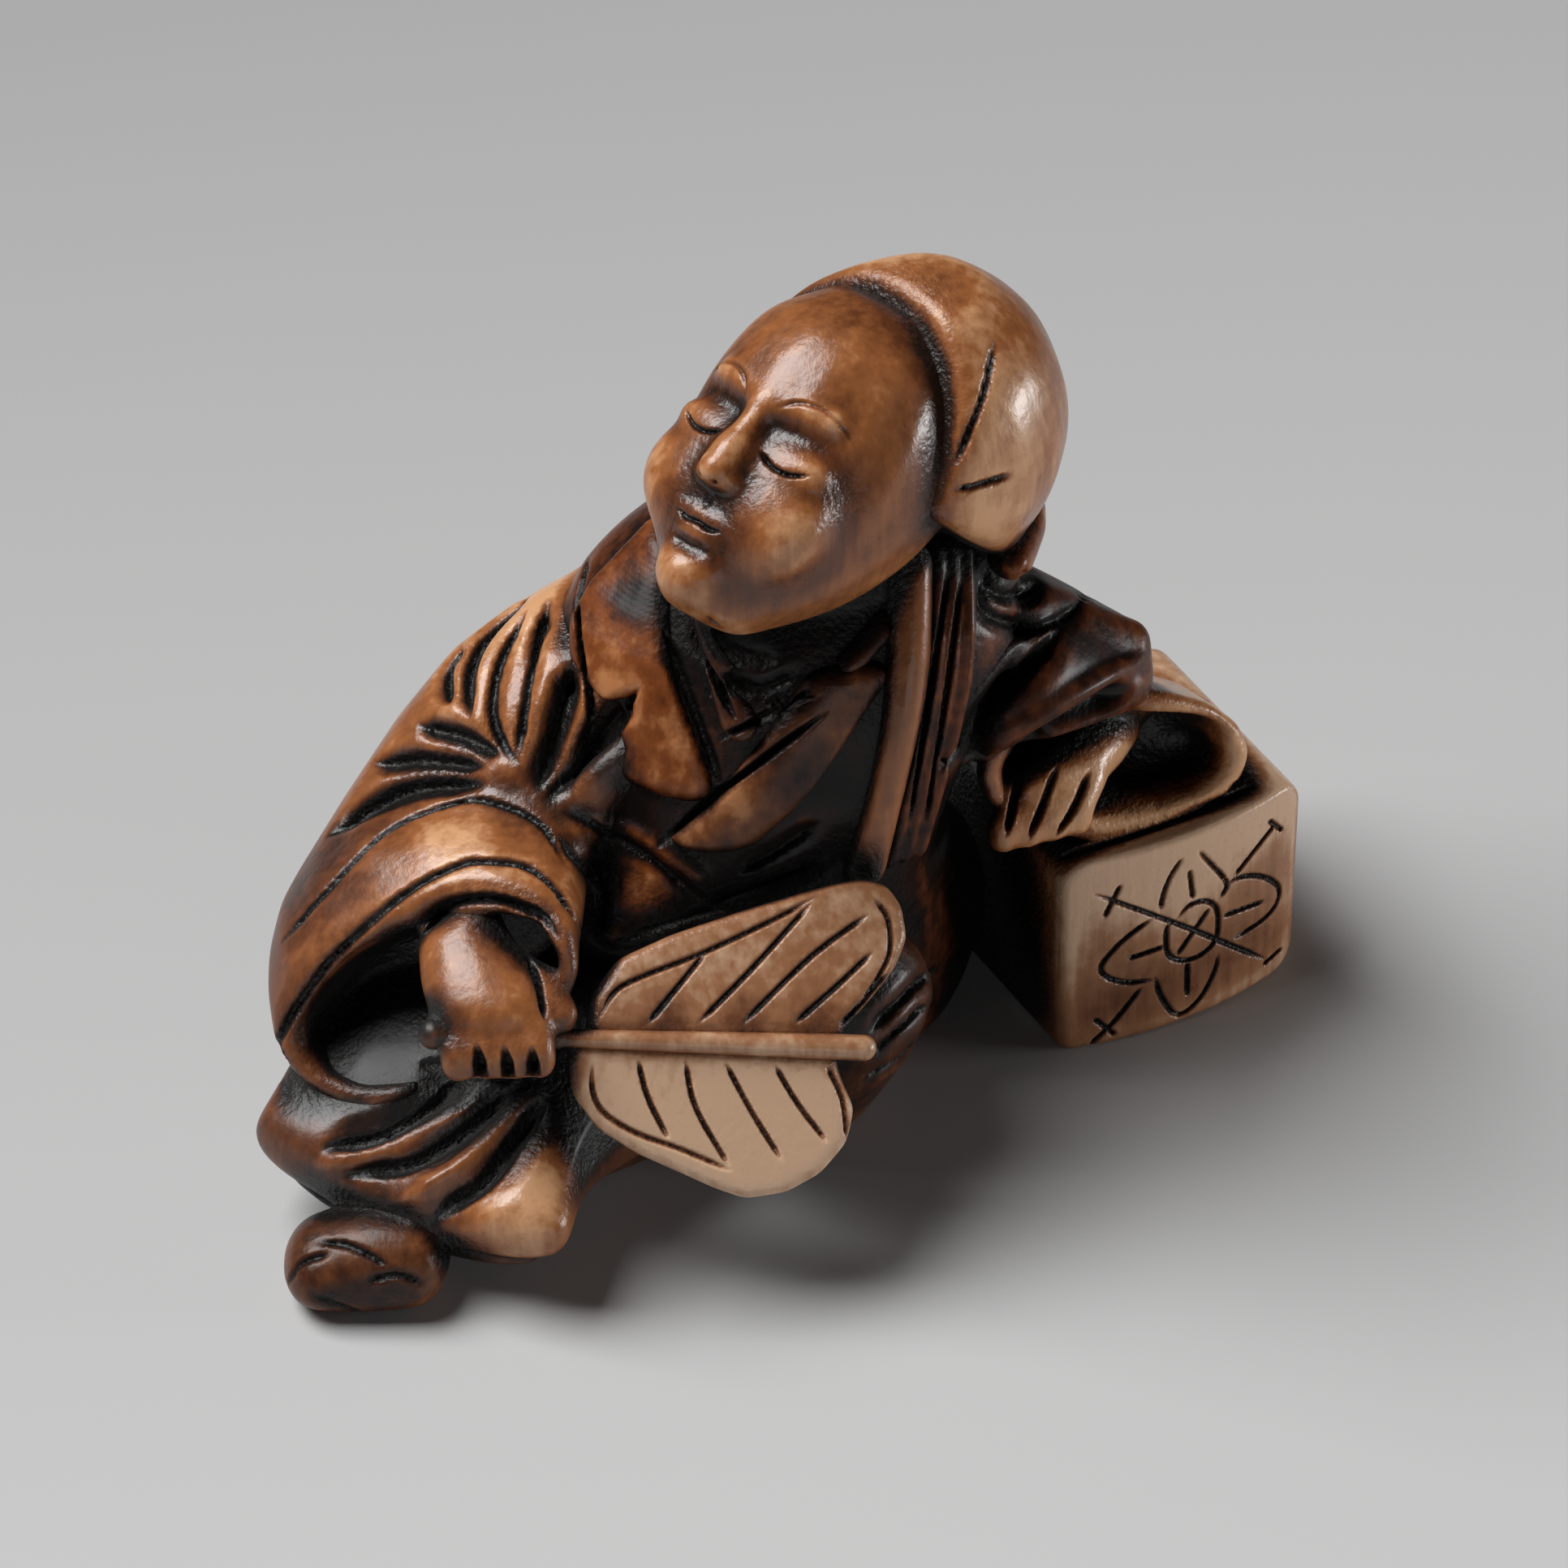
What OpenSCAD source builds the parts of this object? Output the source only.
// Wooden netsuke: a robed figure in a hood leans on an armrest and holds a leaf fan.
// Millimetres. X points to the viewer's right, Y away from the viewer, Z up from the table.
// Each carved form is cut by the forms it lies on, so that neighbours meet face to face.

/* [Trunk of the robe] */
// Middle of the robe on the ground
seat_at = [-3.4, 4.4]; // [-8:0.1:8]
// Width of the robe on the ground
seat_w = 23; // [21.5:0.1:24.5]
// Depth of the robe on the ground
seat_d = 15; // [13.8:0.1:16]
// Middle of the hips
hip_at = [-3, 4.4]; // [-8:0.1:8]
// Height of the hips
hip_h = 4.5; // [3.5:0.1:5.5]
// Width at the hips
hip_w = 23.4; // [22:0.1:24.6]
// Depth at the hips
hip_d = 16; // [15:0.1:17]
// Middle of the waist
waist_at = [-2, 3.5]; // [-8:0.1:8]
// Height of the waist above the hips
waist_h = 7; // [6:0.1:8]
// Width at the waist
waist_w = 17; // [15.5:0.1:18.5]
// Depth at the waist
waist_d = 13.8; // [12.5:0.1:15]
// Middle of the chest
chest_at = [-0.4, 4]; // [-8:0.1:8]
// Height of the chest above the waist
chest_h = 6; // [5:0.1:7]
// Width of the chest
chest_w = 17.6; // [16:0.1:19]
// Depth of the chest
chest_d = 12.4; // [11.5:0.1:13.5]
// Middle of the shoulders
shoulder_at = [0.6, 5]; // [-8:0.1:8]
// Height of the shoulders above the chest
shoulder_h = 3.9; // [3.4:0.1:4.4]
// Width of the shoulders
shoulder_w = 17.4; // [16:0.1:19]
// Depth of the shoulders
shoulder_d = 11.4; // [10.5:0.1:12.5]
// Middle of the collar
collar_at = [1.3, 5.6]; // [-8:0.1:8]
// Height of the collar above the shoulders
collar_h = 2.8; // [2.4:0.1:3.2]
// Width at the collar
collar_w = 12.4; // [11:0.1:13.5]
// Depth at the collar
collar_d = 9.4; // [8.5:0.1:10.5]
// Middle of the neck
neck_at = [1.9, 4.4]; // [-8:0.1:8]
// Height of the neck's top above the collar, inside the head
neck_h = 2.8; // [2.4:0.1:3.4]
// Width of the neck
neck_w = 7.4; // [6.5:0.1:8.5]
// Turn of the seat and hips in plan
seat_turn = 28; // [22:1:34]
// Turn of the waist in plan
waist_turn = 12; // [6:1:18]

/* [Cord hole] */
// Middle of the cord hole
cord_at = [-4.4, 8.6, 3.9]; // [-10:0.1:12]
// Diameter of the cord hole
cord_d = 3.2; // [2.4:0.1:4]
// Slope of the cord hole towards the back
cord_slope = 45; // [38:1:52]

/* [Robe over the right leg] */
// Middle of the robe at the hip
leg_hip_at = [-8.6, -1, 5]; // [-20:0.1:20]
// Width of the robe at the hip
leg_hip_w = 15; // [13.5:0.1:16.5]
// Height of the robe at the hip
leg_hip_h = 10; // [9:0.1:11]
// Middle of the robe at the shin
leg_shin_at = [-12.7, -6, 4.5]; // [-20:0.1:20]
// Width of the robe at the shin
leg_shin_w = 13; // [12:0.1:14]
// Height of the robe at the shin
leg_shin_h = 7.4; // [6.6:0.1:8.2]
// Middle of the hem
hem_at = [-14.4, -10.3, 4]; // [-20:0.1:20]
// Width of the hem
hem_w = 14; // [13:0.1:15]
// Height of the hem
hem_h = 3.6; // [3.2:0.1:4]
// Rounding of the hem's front
hem_round = 1.4; // [1:0.1:1.8]
// How far the under robe shows below the hem
under_drop = 0.9; // [0.6:0.1:1.2]
// How far the under robe is set in at each end of the hem
under_inset = 1.2; // [0.8:0.1:1.6]

/* [Foot] */
// Middle of the heel
heel_at = [-14.2, -11.8, 1.8]; // [-20:0.1:20]
// Middle of the toes
toe_at = [-17.9, -11.9, 1.5]; // [-20:0.1:20]
// Width of the foot
foot_w = 4.4; // [4:0.1:4.8]
// Height of the foot
foot_h = 4; // [3.6:0.1:4.4]
// Height of the toes
toe_h = 3.2; // [2.8:0.1:3.6]
// Rounding of the toes
toe_round = 1.4; // [1:0.1:1.8]

/* [Robe over the left knee] */
// Middle of the knee on the ground
knee_foot_at = [-1.2, -0.8]; // [-8:0.1:8]
// Width of the knee on the ground
knee_foot_w = 9; // [8:0.1:10]
// Depth of the knee on the ground
knee_foot_d = 7; // [6:0.1:8]
// Middle of the knee
knee_at = [1, -2.4]; // [-8:0.1:8]
// Height of the knee's widest level
knee_h = 7; // [6:0.1:8]
// Width of the knee
knee_w = 9.8; // [9:0.1:10.6]
// Depth of the knee
knee_d = 8; // [7:0.1:9]
// Height of the thigh's top
thigh_h = 11; // [10:0.1:12]

/* [Right sleeve] */
// Middle of the sleeve inside the shoulder, from the middle of the shoulders
right_shoulder_at = [-4.8, -0.1, -3.1]; // [-20:0.1:20]
// Breadth and height of the sleeve at the shoulder
right_shoulder_size = [10.4, 7.6]; // [5:0.1:15]
// Middle of the upper arm
right_arm_at = [-9.5, 2.6, 16.1]; // [-20:0.1:20]
// Breadth and height of the sleeve at the upper arm
right_arm_size = [10, 7.4]; // [5:0.1:15]
// Middle of the elbow
right_elbow_at = [-13.2, -1, 11.8]; // [-20:0.1:20]
// Breadth and height of the sleeve at the elbow
right_elbow_size = [12.8, 7.6]; // [5:0.1:15]
// Middle of the forearm
right_forearm_at = [-13.8, -4.6, 11]; // [-20:0.1:20]
// Breadth and height of the sleeve at the forearm
right_forearm_size = [13.6, 8.6]; // [5:0.1:15]
// Middle of the sleeve's mouth
right_mouth_at = [-13.7, -7.4, 10.8]; // [-20:0.1:20]
// Breadth and height of the sleeve's mouth
right_mouth_size = [13.6, 7.8]; // [5:0.1:15]
// Wall of both sleeves at the mouth
sleeve_wall = 0.9; // [0.6:0.1:1.2]
// Depth of the right sleeve's hollow
right_hollow = 3.8; // [3:0.1:4.2]

/* [Left sleeve] */
// Middle of the sleeve inside the shoulder, from the middle of the shoulders
left_shoulder_at = [5.4, 0.6, -3.8]; // [-20:0.1:20]
// Breadth and height of the sleeve at the shoulder
left_shoulder_size = [8, 7]; // [5:0.1:15]
// Middle of the elbow, from the level of the armrest's top
left_elbow_at = [12, 8.4, 1.2]; // [-20:0.1:20]
// Breadth and height of the sleeve at the elbow
left_elbow_size = [10.6, 5]; // [5:0.1:15]
// Middle of the sleeve's mouth, from the level of the armrest's top
left_mouth_at = [13, 4.2, 3.1]; // [-20:0.1:20]
// Breadth and height of the sleeve's mouth
left_mouth_size = [12.1, 6.6]; // [5:0.1:15]
// Depth of the left sleeve's hollow
left_hollow = 2.6; // [2:0.1:3]

/* [Shoulder cape] */
// Middle of the cape beside the neck, from the middle of the shoulders
cape_neck_at = [3, -0.4, -2]; // [-20:0.1:30]
// Breadth and height of the cape beside the neck
cape_neck_size = [10.6, 8]; // [4:0.1:14]
// Middle of the cape on the upper arm, from the middle of the shoulders
cape_arm_at = [8.2, 0.4, -3.8]; // [-20:0.1:30]
// Breadth and height of the cape on the upper arm
cape_arm_size = [8, 6.4]; // [4:0.1:14]
// Middle of the cape's outer corner, from the middle of the shoulders
cape_end_at = [12.4, 1.9, -5.4]; // [-20:0.1:30]
// Breadth and height of the cape's outer corner
cape_end_size = [5, 2.8]; // [1:0.1:10]

/* [Folds of the cloth] */
// Width of the robe's folds
robe_fold_w = 1.8; // [1.4:0.1:2.2]
// Depth of the robe's folds
robe_fold_d = 0.75; // [0.5:0.05:1]
// Width of the right sleeve's folds
sleeve_fold_w = 1.3; // [1:0.1:1.6]
// Depth of the right sleeve's folds
sleeve_fold_d = 0.65; // [0.45:0.05:0.85]
// Width of the two wedges in the crook of the right arm
wedge_w = 2.2; // [1.8:0.1:2.6]
// Depth of the two wedges
wedge_d = 1.3; // [1:0.05:1.6]

/* [Collars and lapel] */
// Width of the lapel's roll
lapel_w = 1.7; // [1.4:0.1:2]
// Height of the lapel's roll above the robe
lapel_rise = 1.1; // [0.8:0.1:1.4]
// Pitch of the pleats
pleat_pitch = 0.65; // [0.55:0.05:0.75]
// Width of a pleat
pleat_w = 0.8; // [0.7:0.05:0.9]
// Height of the pleats above the robe
pleat_rise = 0.7; // [0.5:0.05:0.9]
// Width of the collar bands
band_w = 1.6; // [1.3:0.1:2]
// Height of the collar bands above the robe
band_rise = 0.8; // [0.6:0.05:1]
// Width of the right front panel
front_w = 5.2; // [4.5:0.1:6]
// Height of the front panels above the robe
front_rise = 0.7; // [0.5:0.05:0.9]
// Width of the left front panel
crossing_w = 3.6; // [3:0.1:4.2]

/* [Head and hood] */
// Middle of the head, from the neck's top
head_at = [-0.7, -2, 1.9]; // [-10:0.1:10]
// How far the head turns to its right
head_turn = 43; // [35:1:51]
// How far the head looks up
head_look_up = 46; // [38:1:54]
// How far the head rolls about its own line of sight
head_lean = -2; // [-10:1:6]
// Width of the head
head_w = 10.2; // [9.6:0.1:10.8]
// Depth of the head
head_d = 11; // [10.4:0.1:11.6]
// Height of the head from chin to crown
head_h = 14; // [13.4:0.1:14.6]
// Width of the nose
nose_w = 1.7; // [1.4:0.1:2]
// Thickness of the hood's cloth
hood_t = 0.7; // [0.5:0.05:0.9]
// Middle of the hood's bag, from the middle of the head
bag_at = [4, 2.8, 0.4]; // [-6:0.1:6]
// Width of the hood's bag
bag_w = 11.2; // [10.5:0.1:12.5]
// Depth of the hood's bag
bag_d = 11.4; // [10.5:0.1:12.5]
// Height of the hood's bag
bag_h = 13; // [12:0.1:14]
// How far the hood's rim lies behind the head's middle
rim_back = 0.4; // [0:0.1:0.8]
// Lean of the hood's rim from the head's own upright
rim_lean = 18; // [12:1:24]
// Height of the hood's lower edge above the head's middle
hood_edge = 0.4; // [0:0.1:0.8]
// Thickness of the roll under the bag
roll_d = 2; // [1.6:0.1:2.4]

/* [Hands] */
// Width of the hands
hand_w = 4.4; // [3.8:0.1:5]
// Thickness of the hands
hand_t = 2.5; // [2.1:0.1:2.9]
// Thickness of the fingers
finger_d = 1.15; // [1:0.05:1.3]
// Middle of the right wrist
right_wrist_at = [-12.4, -5.2, 13]; // [-20:0.1:20]
// Middle of the right knuckles
right_knuckles_at = [-11.2, -9.2, 12]; // [-20:0.1:20]
// Middle of the right fingertips
right_tips_at = [-10.8, -10.7, 10.5]; // [-20:0.1:20]
// Tip of the right thumb
right_thumb_at = [-8.3, -9.2, 11.8]; // [-20:0.1:20]
// Middle of the left wrist, from the level of the armrest's top
left_wrist_at = [12.9, 7.2, 2.6]; // [-20:0.1:20]
// Middle of the left knuckles, from the level of the armrest's top
left_knuckles_at = [10.6, 3.7, 2.6]; // [-20:0.1:20]
// Middle of the left fingertips, from the level of the armrest's top
left_tips_at = [10, 2.5, 1.2]; // [-20:0.1:20]

/* [Fan] */
// Where the midrib leaves the hand
fan_at = [-8.6, -9.5, 10.9]; // [-20:0.1:20]
// Length of the midrib beyond the hand
fan_l = 11.7; // [11.2:0.1:12.4]
// Length of the handle behind that point
handle_l = 5.2; // [4.6:0.1:5.8]
// Thickness of the midrib
stick_d = 0.9; // [0.7:0.05:1.1]
// Thickness of the handle's end
handle_d = 1.5; // [1.2:0.05:1.8]
// Reach of the upper leaf above the midrib
upper_leaf_w = 6.5; // [5.8:0.1:7.2]
// Reach of the lower leaf below the midrib
lower_leaf_w = 5.9; // [5.2:0.1:6.6]
// Thickness of the leaves
leaf_t = 1.3; // [1:0.05:1.6]
// Rise of the upper leaf from the level
upper_tilt = 42; // [36:1:48]
// Rise of the lower leaf from the level
lower_tilt = 52; // [46:1:58]
// Turn of the fan in plan
fan_turn = 4; // [0:1:8]
// Fall of the midrib towards its end
fan_fall = 6; // [2:1:10]

/* [Armrest] */
// Front left corner of the armrest on the ground
armrest_at = [11, 1.8]; // [0:0.1:20]
// Width of the armrest's front
armrest_w = 11; // [10:0.1:11.8]
// Height of the armrest
armrest_h = 9.8; // [9.2:0.1:10.4]
// Depth of the armrest
armrest_d = 10; // [8:0.1:12]
// Turn of the armrest in plan
armrest_turn = 30; // [22:1:38]
// Rounding of the armrest's edges
armrest_round = 1.2; // [0.6:0.1:1.8]
// Rounding of the armrest's left edge on the ground
armrest_foot_round = 0.4; // [0.2:0.1:1]
// How far the armrest's front bows out in its middle
armrest_bow = 0.9; // [0.4:0.1:1.4]

/* [Hidden] */

// Wood tones
dark_wood = "#5a3a22";
wood = "#8a5a33";
pale_wood = "#a9743f";

// Directions of the sections, which have no length of their own
leg_across = [0.89, -0.45, 0];
leg_down = [-0.45, -0.89, 0];
mouth_along = [0.85, -0.09, 0.51];
mouth_up = [-0.38, 0.51, 0.77];
left_along = [0.91, 0.37, -0.2];
left_up = [-0.06, 0.2, 0.98];

// Levels of the trunk, and what the head, the shoulders' cloth and the left arm are placed from
waist_z = hip_h + waist_h;
chest_z = waist_z + chest_h;
shoulder_z = chest_z + shoulder_h;
collar_z = shoulder_z + collar_h;
neck_z = collar_z + neck_h;
shoulder_place = [shoulder_at[0], shoulder_at[1], shoulder_z];
head_place = [neck_at[0], neck_at[1], neck_z] + head_at;
armrest_top = [0, 0, armrest_h];

// Steps along a form, sides of a section, and rings in a rounded end
STEPS = 3;
SIDES = 16;
DOME = [70, 40, 15];

// Curves
function unit(v) = v / norm(v);
function spline_at(keys, i, t) =
    let (last = len(keys) - 1)
    let (a = keys[max(i - 1, 0)], b = keys[i], c = keys[i + 1], d = keys[min(i + 2, last)])
    (2 * b + (c - a) * t + (2 * a - 5 * b + 4 * c - d) * t * t + (3 * b - a - 3 * c + d) * t * t * t) / 2;
function spline(keys, steps) =
    [for (i = [0:len(keys) - 2], s = [0:steps - 1]) spline_at(keys, i, s / steps), keys[len(keys) - 1]];

// A section is its middle and its two half axes
function section(at, along, up, size) = [at, unit(along) * size[0] / 2, unit(up) * size[1] / 2];
function level(at, h, w, d, turn = 0) =
    [[at[0], at[1], h], [cos(turn), sin(turn), 0] * w / 2, [-sin(turn), cos(turn), 0] * d / 2];
function moved(key, by) = [key[0] + by, key[1], key[2]];
function grown(key, by) =
    [key[0], key[1] + unit(key[1]) * by, key[2] + unit(key[2]) * by];
function narrowed(key, by) = [key[0], key[1] - unit(key[1]) * by, key[2]];
function power(v, p) = sign(v) * pow(abs(v), p);
function ring(key, sides, full = 1) =
    [for (j = [0:sides - 1], angle = 360 * j / sides)
        key[0] + key[1] * power(cos(angle), full) + key[2] * power(sin(angle), full)];
function dome(key, out, depth) =
    [for (angle = DOME) [key[0] + out * depth * sin(angle), key[1] * cos(angle), key[2] * cos(angle)]];
function rounded(keys, start, end) =
    let (last = len(keys) - 1)
    let (first_way = unit(keys[0][0] - keys[1][0]), last_way = unit(keys[last][0] - keys[last - 1][0]))
    concat(
        start > 0 ? dome(keys[0], first_way, start) : [],
        keys,
        end > 0 ? [for (k = [len(DOME) - 1:-1:0]) dome(keys[last], last_way, end)[k]] : []
    );

// A closed skin over a list of rings
module skin(rings) {
    n = len(rings[0]);
    m = len(rings);
    sides = [for (i = [0:m - 2], j = [0:n - 1])
        let (a = i * n + j, b = i * n + (j + 1) % n) each [[a, a + n, b], [b, a + n, b + n]]];
    caps = [for (j = [1:n - 2])
        each [[0, j, j + 1], [(m - 1) * n, (m - 1) * n + j + 1, (m - 1) * n + j]]];
    polyhedron([for (r = rings) each r], concat(sides, caps));
}

// A form lofted through its sections as one skin, with rounded ends where a depth is given.
// A value of full under 1 squares the sections.
module loft(keys, start = 0, end = 0, steps = STEPS, sides = SIDES, full = 1) {
    all = rounded(spline(keys, steps), start, end);
    way = all[1][0] - all[0][0];
    turn = cross(all[0][1], all[0][2]) * way > 0 ? 1 : -1;
    skin([for (key = all) ring([key[0], key[1], key[2] * turn], sides, full)]);
}

// A fold is a groove that tapers to both ends. Its places are how far along a form's sections it is,
// counted from the first, and the angle round the section there.
function section_at(keys, along) =
    let (i = min(floor(along), len(keys) - 2))
    spline_at(keys, i, along - i);
function skin_at(keys, place) =
    let (key = section_at(keys, place[0]))
    key[0] + key[1] * cos(place[1]) + key[2] * sin(place[1]);
function skin_out(keys, place) =
    let (key = section_at(keys, place[0]))
    unit(key[1] * cos(place[1]) / (key[1] * key[1]) + key[2] * sin(place[1]) / (key[2] * key[2]));
function fold_section(keys, line, i, w, depth) =
    let (last = len(line) - 1)
    let (way = skin_at(keys, line[min(i + 1, last)]) - skin_at(keys, line[max(i - 1, 0)]))
    let (out = skin_out(keys, line[i]), size = sin(180 * (i + 0.5) / (last + 1)))
    [skin_at(keys, line[i]), unit(cross(way, out)) * size * w / 2, out * size * depth];

module fold(keys, places, w, depth) {
    line = spline(places, STEPS);
    loft([for (i = [0:len(line) - 1]) fold_section(keys, line, i, w, depth)], steps = 1, sides = 4);
}

// Everything under the table
module below_ground() {
    reach = seat_w + armrest_w + hem_w;
    translate([-reach, -reach, -reach]) cube([2 * reach, 2 * reach, reach]);
}

// Trunk
trunk_keys = [
    level(seat_at, 0, seat_w, seat_d, seat_turn),
    level(hip_at, hip_h, hip_w, hip_d, seat_turn),
    level(waist_at, waist_z, waist_w, waist_d, waist_turn),
    level(chest_at, chest_z, chest_w, chest_d),
    level(shoulder_at, shoulder_z, shoulder_w, shoulder_d),
    level(collar_at, collar_z, collar_w, collar_d),
    level(neck_at, neck_z, neck_w, neck_w)
];
trunk_rings = spline(trunk_keys, STEPS);
function trunk_value(h, part, axis) = lookup(h, [for (key = trunk_rings) [key[0][2], key[part][axis]]]);
function trunk_part(h, part) = [trunk_value(h, part, 0), trunk_value(h, part, 1), trunk_value(h, part, 2)];

// The section of a band that lies on the trunk at a height and an angle in plan
function on_trunk(h, angle, w, rise, shift = 0) =
    let (middle = trunk_part(h, 0), a = trunk_part(h, 1), b = trunk_part(h, 2))
    let (along = unit(b * cos(angle) - a * sin(angle)))
    let (out = [along[1], -along[0], 0])
    [middle + a * cos(angle) + b * sin(angle) + along * shift, along * w / 2, out * rise];

module trunk() {
    skin([for (key = trunk_rings) ring(key, 24)]);
}

// Folds down the back of the robe
robe_folds = [
    [[3.4, 44], [2.4, 44], [1.6, 40]],
    [[3.5, 114], [2.4, 96], [1.5, 86]],
    [[2.9, 138], [2.1, 114], [1.4, 104]],
    [[1.5, 130], [1.1, 116], [0.6, 104]],
    [[1.5, 38], [1.1, 40], [0.6, 42]]
];

module robe_body() {
    color(wood) difference() {
        trunk();
        for (places = robe_folds)
            fold(trunk_keys, places, robe_fold_w, robe_fold_d);
        translate(cord_at) rotate([-90 + cord_slope, 0, 0])
            cylinder(d = cord_d, h = 2 * hip_d, center = true, $fn = 48);
    }
}

// Robe over the right leg
leg_keys = [
    section(leg_hip_at, leg_across, [0, 0, 1], [leg_hip_w, leg_hip_h]),
    section(leg_shin_at, leg_across, [0, 0, 1], [leg_shin_w, leg_shin_h]),
    section(hem_at, leg_across, [0, 0, 1], [hem_w, hem_h])
];

module leg_form() {
    loft(leg_keys, end = hem_round, steps = 4, full = 0.75);
}

module robe_skirt() {
    color(wood) difference() {
        leg_form();
        trunk();
        knee_form();
        below_ground();
    }
}

module under_form() {
    drop = [0, 0, -under_drop];
    shifts = [leg_down * hem_round, leg_down * 0, -leg_down * under_drop / 3];
    under_keys = [for (i = [0:2]) moved(narrowed(leg_keys[i], under_inset), drop + shifts[i])];
    loft(under_keys, end = hem_round, steps = 4, full = 0.75);
}

module under_robe() {
    color(dark_wood) difference() {
        under_form();
        leg_form();
        trunk();
        knee_form();
        below_ground();
    }
}

module foot() {
    instep = (heel_at + toe_at) / 2;
    across = [0, 1, 0];
    color(dark_wood) difference() {
        loft([
            section(heel_at, across, [0, 0, 1], [foot_w, foot_h]),
            section(instep, across, [0, 0, 1], [foot_w, foot_h]),
            section(toe_at, across, [0, 0, 1], [foot_w, toe_h])
        ], start = toe_round, end = toe_round);
        leg_form();
        under_form();
        below_ground();
    }
}

// Robe over the left knee
module knee_form() {
    loft([
        level(knee_foot_at, 0, knee_foot_w, knee_foot_d),
        level(knee_at, knee_h, knee_w, knee_d),
        level(knee_at, thigh_h, knee_w / 2, knee_d / 2)
    ], end = stick_d);
}

module left_knee() {
    color(dark_wood) difference() {
        knee_form();
        trunk();
    }
}

// Fronts, collars and lapel, as bands on the trunk
module right_front_form() {
    loft([
        on_trunk(collar_z, 196, front_w / 2, front_rise),
        on_trunk(shoulder_z, 218, front_w, front_rise),
        on_trunk(chest_z, 238, front_w, front_rise),
        on_trunk(waist_z + front_w, 244, front_w / 2, front_rise / 2)
    ], start = front_rise, end = front_rise);
}

module right_front() {
    color(wood) difference() {
        right_front_form();
        trunk();
        right_arm_form();
    }
}

module left_front_form() {
    loft([
        on_trunk(shoulder_z, 282, crossing_w, front_rise),
        on_trunk(chest_z, 270, crossing_w, front_rise),
        on_trunk(waist_z + crossing_w, 256, crossing_w, front_rise)
    ], start = front_rise, end = front_rise);
}

module left_front() {
    color(dark_wood) difference() {
        left_front_form();
        trunk();
        right_front_form();
        lapel_form();
    }
}

module right_band_form() {
    loft([
        on_trunk(collar_z + band_w / 2, 216, band_w, band_rise),
        on_trunk(shoulder_z + band_w, 240, band_w, band_rise),
        on_trunk(shoulder_z - band_w, 258, band_w, band_rise)
    ], start = band_rise, end = band_rise);
}

module left_band_form() {
    loft([
        on_trunk(collar_z - band_w / 2, 296, band_w, band_rise),
        on_trunk(shoulder_z, 278, band_w, band_rise),
        on_trunk(shoulder_z - band_w / 2, 268, band_w, band_rise)
    ], start = band_rise, end = band_rise);
}

module right_collar() {
    color(dark_wood) difference() {
        right_band_form();
        trunk();
        right_front_form();
        left_front_form();
        head_form();
    }
}

module left_collar() {
    color(dark_wood) difference() {
        left_band_form();
        right_band_form();
        trunk();
        right_front_form();
        left_front_form();
        lapel_form();
        pleat_form();
        head_form();
    }
}

lapel_top = collar_z + band_w / 2;
lapel_middle = shoulder_z - band_w / 2;
lapel_foot = waist_z + lapel_w;

module lapel_form() {
    loft([
        on_trunk(lapel_top, 306, lapel_w, lapel_rise),
        on_trunk(lapel_middle, 298, lapel_w, lapel_rise),
        on_trunk(lapel_foot, 297, lapel_w, lapel_rise)
    ], start = lapel_rise, end = lapel_rise, steps = 4, sides = 12);
}

module lapel_roll() {
    color(pale_wood) difference() {
        lapel_form();
        trunk();
        head_form();
        hood_form();
    }
}

module pleat_form() {
    first = (lapel_w + pleat_w) / 2 - pleat_w / 4;
    for (i = [0:2])
        loft([
            on_trunk(lapel_top, 306, pleat_w, pleat_rise, first + i * pleat_pitch),
            on_trunk(lapel_middle, 298, pleat_w, pleat_rise, first + i * pleat_pitch),
            on_trunk(lapel_foot, 297, pleat_w, pleat_rise, first + i * pleat_pitch)
        ], start = pleat_rise, end = pleat_rise, sides = 10);
}

module lapel_pleats() {
    color(wood) difference() {
        pleat_form();
        trunk();
        lapel_form();
        hood_form();
        head_form();
    }
}

// Jacket over the left shoulder
module cape_form() {
    across = [0.25, -0.96, -0.1];
    up = [0.4, 0.1, 0.9];
    loft([
        section(shoulder_place + cape_neck_at, across, up, cape_neck_size),
        section(shoulder_place + cape_arm_at, across, up, cape_arm_size),
        section(shoulder_place + cape_end_at, across, up, cape_end_size)
    ], end = cape_end_size[1] / 2);
}

module shoulder_cape() {
    color(wood) difference() {
        cape_form();
        trunk();
        lapel_form();
        pleat_form();
        hood_form();
        roll_form();
        head_form();
    }
}

// Sleeves
right_keys = [
    section(shoulder_place + right_shoulder_at, [0.18, -0.98, 0.1], [-0.46, 0.15, 0.87], right_shoulder_size),
    section(right_arm_at, [0.5, -0.83, 0.24], [-0.61, 0.24, 0.75], right_arm_size),
    section(right_elbow_at, [0.81, -0.16, 0.56], [-0.71, 0.26, 0.65], right_elbow_size),
    section(right_forearm_at, mouth_along, [-0.5, 0.4, 0.77], right_forearm_size),
    section(right_mouth_at, mouth_along, mouth_up, right_mouth_size)
];
right_out = unit(cross(mouth_along, mouth_up));
left_elbow = section(armrest_top + left_elbow_at, left_along, [0.2, 0.5, 0.84], left_elbow_size);
left_mouth = section(armrest_top + left_mouth_at, left_along, left_up, left_mouth_size);
left_out = unit(cross(left_along, left_up));

// A hollow runs from outside the mouth to a deep section inside the sleeve
right_mouth = right_keys[len(right_keys) - 1];
right_deep = moved(right_mouth, -right_out * right_hollow);
left_share = left_hollow / norm(left_elbow[0] - left_mouth[0]);
left_deep = left_mouth + (left_elbow - left_mouth) * left_share;

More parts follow.
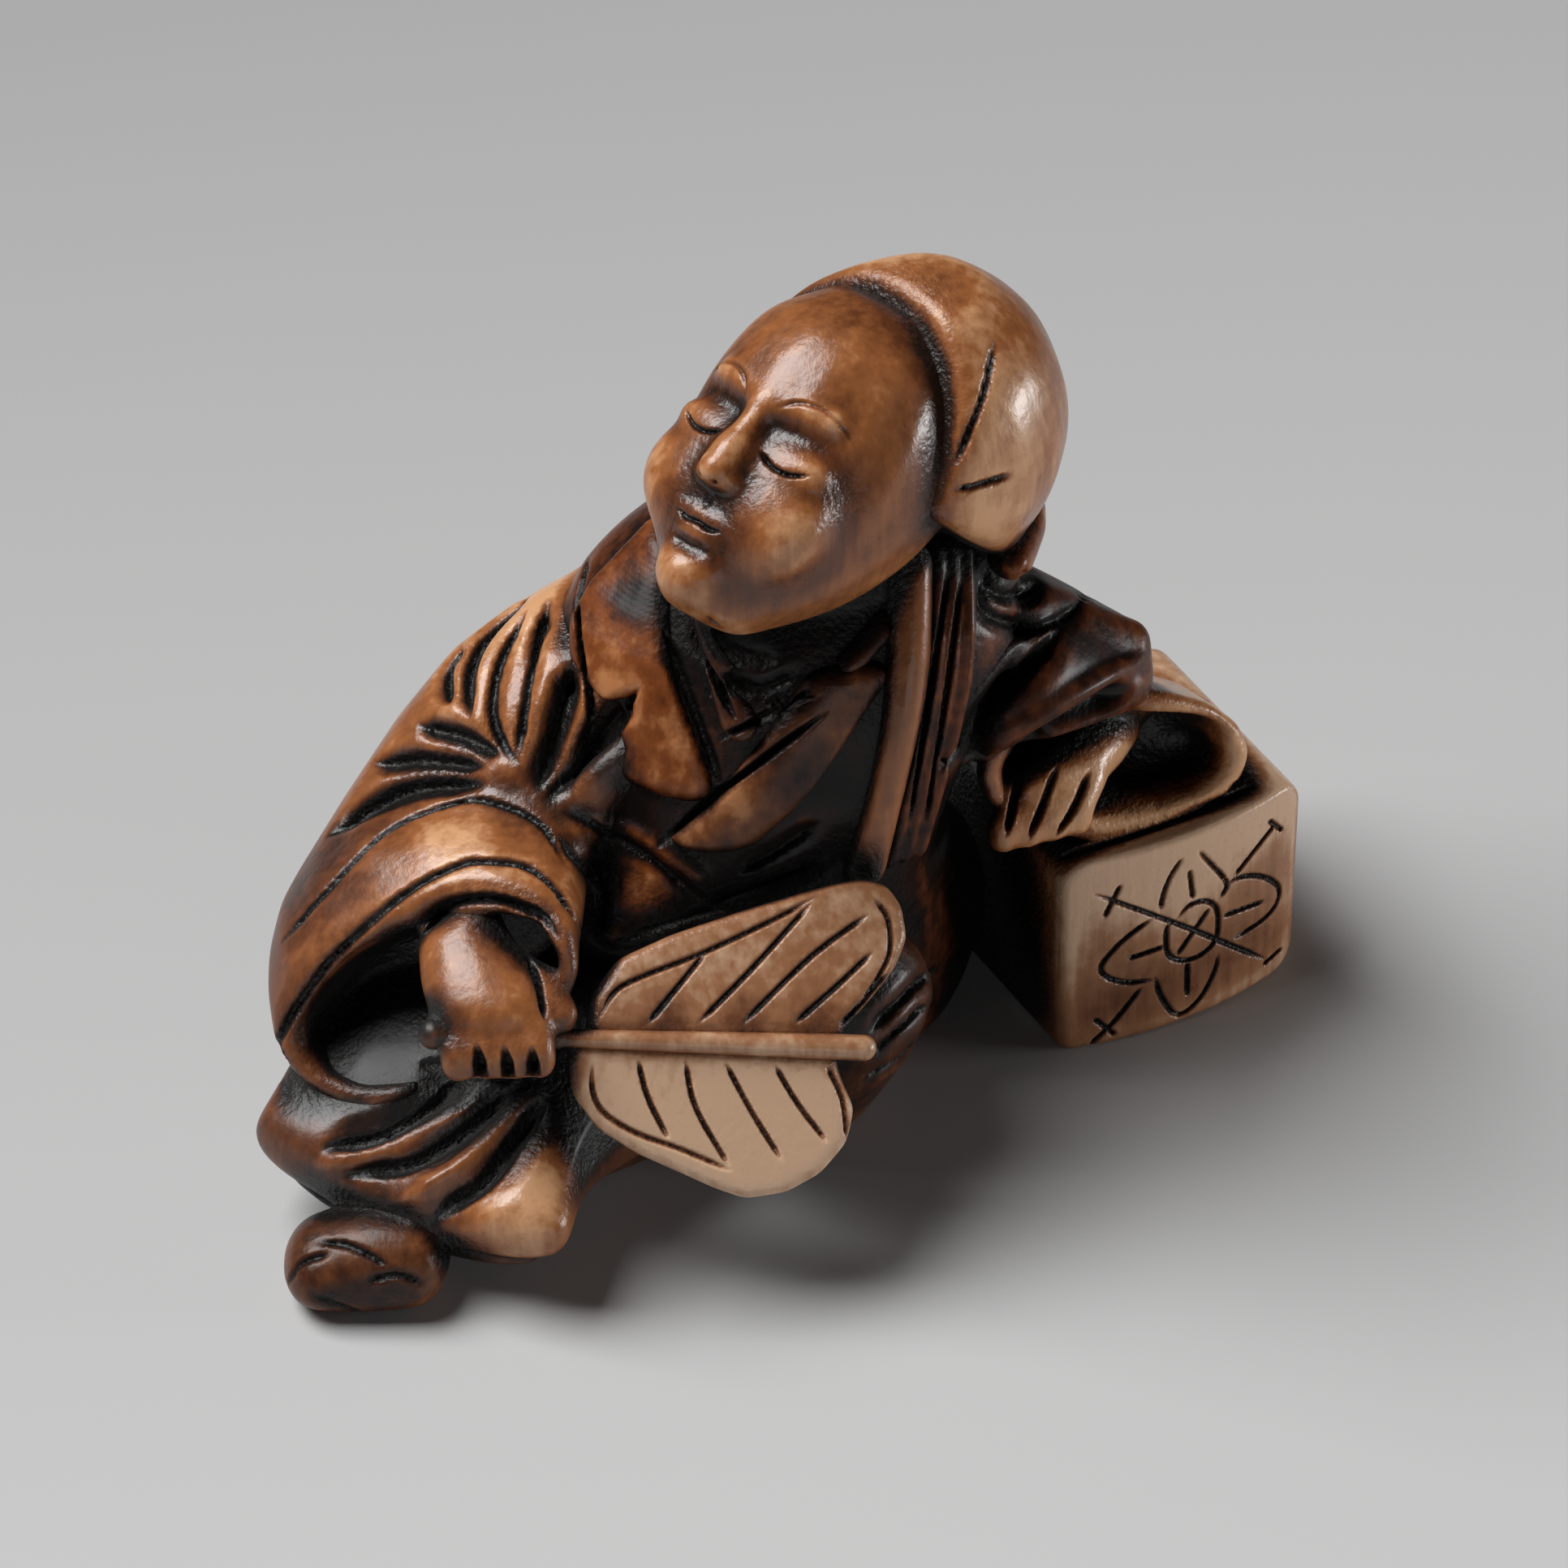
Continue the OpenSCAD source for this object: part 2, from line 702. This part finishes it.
module hollow(mouth, out, deep) {
    inner = grown(mouth, -sleeve_wall);
    loft([moved(inner, out * sleeve_wall), inner, grown(deep, -1.5 * sleeve_wall)], end = sleeve_wall);
}

module right_hollow_form() {
    hollow(right_mouth, right_out, right_deep);
}

module left_hollow_form() {
    hollow(left_mouth, left_out, left_deep);
}

module right_arm_form() {
    loft(right_keys);
}

// Folds over the shoulder, at the elbow and behind the arm, and the wedges in its crook
sleeve_folds = [
    [[0.6, 115], [0.9, 105], [1.35, 70]],
    [[0.6, 95], [1, 68], [1.55, 40]],
    [[1.45, 95], [1.5, 70], [1.6, 45]],
    [[1.65, 110], [1.7, 80], [1.75, 50]],
    [[2.05, 110], [1.95, 80], [1.95, 45]],
    [[0.5, 140], [1, 165], [1.6, 195]],
    [[1.1, 150], [1.5, 175], [2, 205]]
];
sleeve_wedges = [
    [[0.65, 55], [1, 35], [1.8, 25]],
    [[0.4, 30], [0.8, 20], [1.9, 15]]
];

module right_sleeve() {
    color(pale_wood) difference() {
        right_arm_form();
        for (places = sleeve_folds)
            fold(right_keys, places, sleeve_fold_w, sleeve_fold_d);
        for (places = sleeve_wedges)
            fold(right_keys, places, wedge_w, wedge_d);
        right_hollow_form();
        trunk();
        leg_form();
    }
}

// The left arm bends too sharply for one skin, so the upper arm runs into the forearm's sleeve
module left_arm_form() {
    across = [0.2, -0.97, 0.1];
    up = [0.5, 0.1, 0.86];
    loft([
        section(shoulder_place + left_shoulder_at, across, up, left_shoulder_size),
        section(armrest_top + left_elbow_at, across, up, left_shoulder_size / 2)
    ]);
    loft([left_elbow, left_mouth], start = left_elbow_size[1] / 2);
}

module left_sleeve() {
    color(pale_wood) difference() {
        left_arm_form();
        left_hollow_form();
        trunk();
        cape_form();
        armrest_form();
    }
}

// Hands
module finger(points, d) {
    for (i = [0:len(points) - 2])
        hull() {
            translate(points[i]) sphere(d = d, $fn = 10);
            translate(points[i + 1]) sphere(d = d, $fn = 10);
        }
}

module hand_form(wrist, knuckles, tips, across) {
    way = unit(knuckles - wrist);
    pitch = (hand_w - finger_d) / 3;
    back = (wrist + 2 * knuckles) / 3;
    up = cross(across, way);
    loft([
        section(wrist, across, up, [0.7 * hand_w, hand_t]),
        section(back, across, up, [hand_w, hand_t]),
        section(knuckles, across, up, [hand_w, 0.8 * hand_t])
    ], end = finger_d, sides = 12);
    for (i = [0:3]) {
        side = across * pitch * (i - 1.5);
        finger([knuckles + side, (knuckles + tips) / 2 + way * finger_d / 2 + side, tips + side], finger_d);
    }
}

module right_hand_form() {
    across = unit([1, -0.05, 0.1]);
    hand_form(right_wrist_at, right_knuckles_at, right_tips_at, across);
    root = (right_wrist_at + right_knuckles_at) / 2 + across * (hand_w - finger_d) / 2;
    bend = (root + right_thumb_at) / 2 + across * finger_d / 2;
    finger([root, bend, right_thumb_at], finger_d);
}

module right_hand() {
    color(pale_wood) difference() {
        right_hand_form();
        difference() {
            right_arm_form();
            right_hollow_form();
        }
        stick_form();
        leaf_upper_form();
        leaf_lower_form();
        leg_form();
        trunk();
    }
}

module left_hand_form() {
    across = unit([0.9, 0.4, -0.1]);
    hand = [for (place = [left_wrist_at, left_knuckles_at, left_tips_at]) armrest_top + place];
    hand_form(hand[0], hand[1], hand[2], across);
}

module left_hand() {
    color(pale_wood) difference() {
        left_hand_form();
        difference() {
            left_arm_form();
            left_hollow_form();
        }
        armrest_form();
        trunk();
        cape_form();
    }
}

// Fan: the outlines are shares of the midrib's length and of each leaf's reach
upper_outline = [
    [0.1, 0], [0.11, 0.25], [0.2, 0.48], [0.37, 0.63], [0.59, 0.78], [0.77, 0.89], [0.91, 0.97],
    [1, 1], [1.07, 0.97], [1.12, 0.85], [1.14, 0.66], [1.1, 0.48], [1.02, 0.29], [0.95, 0.14], [0.9, 0]
];
lower_outline = [
    [0.9, 0], [0.93, -0.2], [0.98, -0.4], [0.96, -0.62], [0.88, -0.82], [0.77, -0.95], [0.64, -1],
    [0.54, -0.94], [0.43, -0.85], [0.28, -0.73], [0.15, -0.58], [0.07, -0.38], [0.05, -0.17], [0.06, 0]
];

module fan_frame() {
    translate(fan_at) rotate([0, fan_fall, fan_turn]) children();
}

module leaf(outline, reach, tilt) {
    fan_frame() rotate([tilt, 0, 0]) translate([0, 0, -leaf_t])
        linear_extrude(leaf_t) polygon([for (p = outline) [p[0] * fan_l, p[1] * reach]]);
}

module leaf_upper_form() {
    leaf(upper_outline, upper_leaf_w, upper_tilt);
}

module leaf_lower_form() {
    leaf(lower_outline, lower_leaf_w, lower_tilt);
}

module stick_form() {
    fan_frame() {
        finger([[-handle_l, 0, 0], [0, 0, 0]], stick_d);
        for (i = [0:5])
            finger([[fan_l * i / 6, 0, 0], [fan_l * (i + 1) / 6, 0, 0]], stick_d);
        hull() {
            translate([-handle_l, 0, 0]) sphere(d = handle_d, $fn = 12);
            translate([-handle_l + handle_d, 0, 0]) sphere(d = stick_d, $fn = 12);
        }
    }
}

module fan_stick() {
    color(pale_wood) difference() {
        stick_form();
        difference() {
            right_arm_form();
            right_hollow_form();
        }
    }
}

module fan_upper_leaf() {
    color(pale_wood) difference() {
        leaf_upper_form();
        stick_form();
        trunk();
        knee_form();
        leg_form();
    }
}

module fan_lower_leaf() {
    color(pale_wood) difference() {
        leaf_lower_form();
        leaf_upper_form();
        stick_form();
        trunk();
        knee_form();
        leg_form();
    }
}

// Armrest
function corner(x, z, start, radius) =
    [for (angle = [start:22.5:start + 90]) [x + radius * cos(angle), z + radius * sin(angle)]];

module armrest_form() {
    right = armrest_w - armrest_round;
    top = armrest_h - armrest_round;
    outline = concat(
        corner(right, armrest_round, 270, armrest_round),
        corner(right, top, 0, armrest_round),
        corner(armrest_round, top, 90, armrest_round),
        corner(armrest_foot_round, armrest_foot_round, 180, armrest_foot_round)
    );
    bow_radius = (pow(armrest_w / 2, 2) + pow(armrest_bow, 2)) / (2 * armrest_bow);
    translate(armrest_at) rotate([90, 0, armrest_turn]) translate([0, 0, -armrest_d])
        intersection() {
            linear_extrude(armrest_d + armrest_bow) polygon(outline);
            translate([armrest_w / 2, -1, armrest_d + armrest_bow - bow_radius]) rotate([-90, 0, 0])
                cylinder(r = bow_radius, h = armrest_h + 2, $fn = 96);
        }
}

module armrest() {
    color(pale_wood) difference() {
        armrest_form();
        trunk();
    }
}

// Head and hood: the head looks along its own -Y
module head_frame() {
    translate(head_place) rotate([-head_look_up, head_lean, -head_turn]) children();
}

function head_level(z, w, d, y) = level([0, y * head_d], z * head_h, w * head_w, d * head_d);
head_keys = [
    head_level(-0.48, 0.34, 0.36, -0.2),
    head_level(-0.3, 0.72, 0.74, -0.1),
    head_level(-0.08, 0.96, 0.96, -0.02),
    head_level(0.12, 1, 1, 0),
    head_level(0.32, 0.86, 0.86, 0),
    head_level(0.44, 0.56, 0.56, 0)
];

module head_ball(by) {
    loft([for (key = head_keys) grown(key, by)], start = head_h / 40, end = head_h / 20 + by);
}

module head_form() {
    head_frame() head_ball(0);
}

module nose_form() {
    head_frame() hull() {
        translate([0, -0.46 * head_d, 0.1 * head_h]) sphere(d = 0.7 * nose_w, $fn = 16);
        translate([0, -0.5 * head_d, -0.1 * head_h]) sphere(d = nose_w, $fn = 16);
    }
}

module head() {
    color(pale_wood) difference() {
        union() {
            head_form();
            nose_form();
        }
        trunk();
    }
}

function bag_level(z, size) =
    level(head_place + bag_at, head_place[2] + bag_at[2] + z * bag_h, size * bag_w, size * bag_d);
bag_keys = [
    bag_level(-0.42, 0.5), bag_level(-0.3, 0.8), bag_level(-0.1, 0.98), bag_level(0.1, 0.98),
    bag_level(0.3, 0.8), bag_level(0.42, 0.5)
];

module hood_form() {
    reach = 3 * head_h;
    difference() {
        hull() {
            head_frame() head_ball(hood_t);
            loft(bag_keys, start = bag_h / 14, end = bag_h / 14);
        }
        head_frame() {
            rotate([rim_lean, 0, 0]) translate([-reach / 2, rim_back - reach, -reach / 2]) cube(reach);
            translate([-reach / 2, -reach / 2, hood_edge - reach]) cube(reach);
        }
    }
}

module hood() {
    color(pale_wood) difference() {
        hood_form();
        head_form();
        trunk();
    }
}

// The roll curls round the bag's lower side
module roll_form() {
    middle = head_place + bag_at - [0, 0, 0.4 * bag_h];
    roll = [for (angle = [-35, 15, 65])
        section(middle + [cos(angle) * 0.36 * bag_w, sin(angle) * 0.36 * bag_d, 0],
            [cos(angle), sin(angle), 0], [0, 0, 1], [roll_d, roll_d])];
    loft(roll, start = roll_d / 3, end = roll_d / 3);
}

module hood_roll() {
    color(wood) difference() {
        roll_form();
        hood_form();
        head_form();
        trunk();
    }
}

robe_body();
robe_skirt();
under_robe();
foot();
left_knee();
right_front();
left_front();
right_collar();
left_collar();
lapel_roll();
lapel_pleats();
shoulder_cape();
left_sleeve();
left_hand();
right_sleeve();
right_hand();
fan_stick();
fan_upper_leaf();
fan_lower_leaf();
armrest();
head();
hood();
hood_roll();
